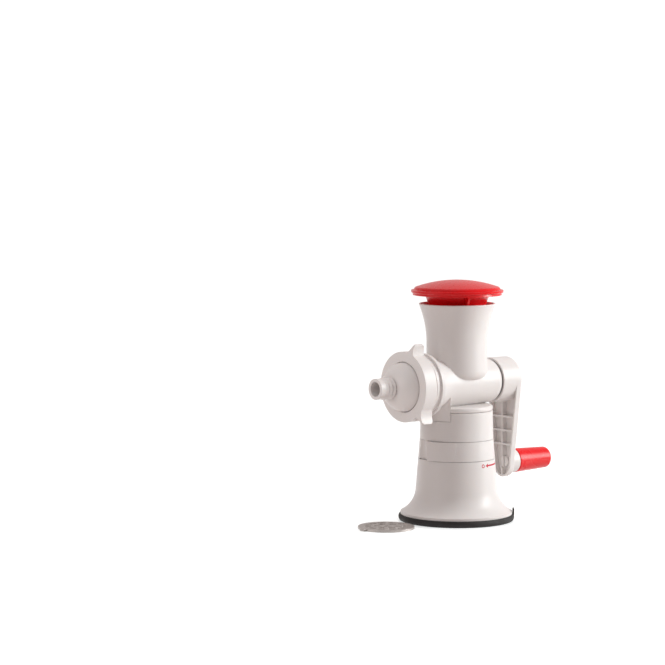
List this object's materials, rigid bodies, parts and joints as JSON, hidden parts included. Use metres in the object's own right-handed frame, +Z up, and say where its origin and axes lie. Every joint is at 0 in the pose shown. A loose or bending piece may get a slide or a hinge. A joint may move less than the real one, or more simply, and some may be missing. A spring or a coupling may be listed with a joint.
{
  "type": "hand crank meat grinder",
  "caption": "Hand crank meat grinder on a suction base, with hopper, pusher, auger, knife, hole plates, nozzle, ring nut and crank; every piece comes apart.",
  "frame": {"origin": "on the floor, under the middle of the suction base", "axes": "+Z up; the barrel runs along X, the outlet towards -X and the crank at +X"},
  "size_m": [0.292, 0.14, 0.2902],
  "materials": {
    "black_rubber": "matte",
    "inner_plastic": "matte",
    "white_plastic": "satin",
    "screw_steel": "plain",
    "cream_plastic": "satin",
    "red_plastic": "gloss",
    "cast_steel": "satin",
    "blade_steel": "ground",
    "plate_steel": "matte"
  },
  "bodies": {
    "base": {"suction_pad": "black_rubber", "pad_ring": "inner_plastic", "base_skirt": "white_plastic", "base_turret": "white_plastic", "base_screws": "screw_steel"},
    "lever": {"suction_lever": "white_plastic", "lever_cam": "inner_plastic"},
    "plunger": {"suction_plunger": "inner_plastic", "plunger_pin": "screw_steel"},
    "spare": {"coarse_plate": "plate_steel"},
    "housing": {"grinder_body": "white_plastic"},
    "seals": {"seal_ring": "cream_plastic", "thrust_ring": "cream_plastic"},
    "auger": {"auger": "red_plastic", "drive_square": "cast_steel"},
    "knife": {"knife": "blade_steel"},
    "plate": {"fine_plate": "plate_steel"},
    "nozzle": {"nozzle": "white_plastic"},
    "ring": {"ring_nut": "white_plastic"},
    "washer": {"crank_washer": "white_plastic"},
    "crank": {"crank_arm": "white_plastic", "drive_core": "red_plastic", "grip_pin": "white_plastic", "grip_clip": "screw_steel"},
    "grip": {"grip": "red_plastic"},
    "pusher": {"pusher": "red_plastic"},
    "cap": {"cap": "red_plastic"}
  },
  "joints": [
    {"name": "lever_turn", "type": "hinge", "parent": "base", "child": "lever", "pos_m": [0, 0, 0.087], "axis": [0, 0, -1], "range_deg": [-70, 0]},
    {"name": "plunger_lift", "type": "slide", "parent": "base", "child": "plunger", "axis": [0, 0, 1], "range_m": [-0.003, 0]},
    {"name": "spare_lift", "type": "slide", "parent": "base", "child": "spare", "axis": [0, 0, 1], "range_m": [0, 0.06]},
    {"name": "body_lift", "type": "slide", "parent": "base", "child": "housing", "axis": [0, 0, 1], "range_m": [0, 0.0385]},
    {"name": "auger_out", "type": "slide", "parent": "housing", "child": "seals", "axis": [-1, 0, 0], "range_m": [0, 0.186]},
    {"name": "auger_turn", "type": "hinge", "parent": "seals", "child": "auger", "pos_m": [0, 0, 0.166], "axis": [1, 0, 0], "continuous": true},
    {"name": "knife_off", "type": "slide", "parent": "auger", "child": "knife", "axis": [-1, 0, 0], "range_m": [0, 0.0418]},
    {"name": "plate_off", "type": "slide", "parent": "seals", "child": "plate", "axis": [-1, 0, 0], "range_m": [0, 0.0955]},
    {"name": "nozzle_off", "type": "slide", "parent": "plate", "child": "nozzle", "axis": [-1, 0, 0], "range_m": [0, 0.0635]},
    {"name": "ring_off", "type": "slide", "parent": "nozzle", "child": "ring", "axis": [-1, 0, 0], "range_m": [0, 0.1087]},
    {"name": "crank_off", "type": "slide", "parent": "housing", "child": "washer", "axis": [1, 0, 0], "range_m": [0, 0.0615]},
    {"name": "crank_turn", "type": "hinge", "parent": "washer", "child": "crank", "pos_m": [0.0525, 0, 0.166], "axis": [1, 0, 0], "continuous": true},
    {"name": "grip_spin", "type": "hinge", "parent": "crank", "child": "grip", "pos_m": [0.092, 0, 0.064], "axis": [1, 0, 0], "continuous": true},
    {"name": "pusher_lift", "type": "slide", "parent": "housing", "child": "pusher", "axis": [0, 0, 1], "range_m": [0, 0.095]},
    {"name": "cap_lift", "type": "slide", "parent": "pusher", "child": "cap", "axis": [0, 0, 1], "range_m": [0, 0.016]}
  ],
  "couplings": [
    {"joint": "plunger_lift", "follows": "lever_turn", "m_per_rad": 0.002456},
    {"joint": "auger_turn", "follows": "crank_turn", "ratio": 1},
    {"joint": "knife_off", "follows": "plate_off", "ratio": 0.4377}
  ]
}
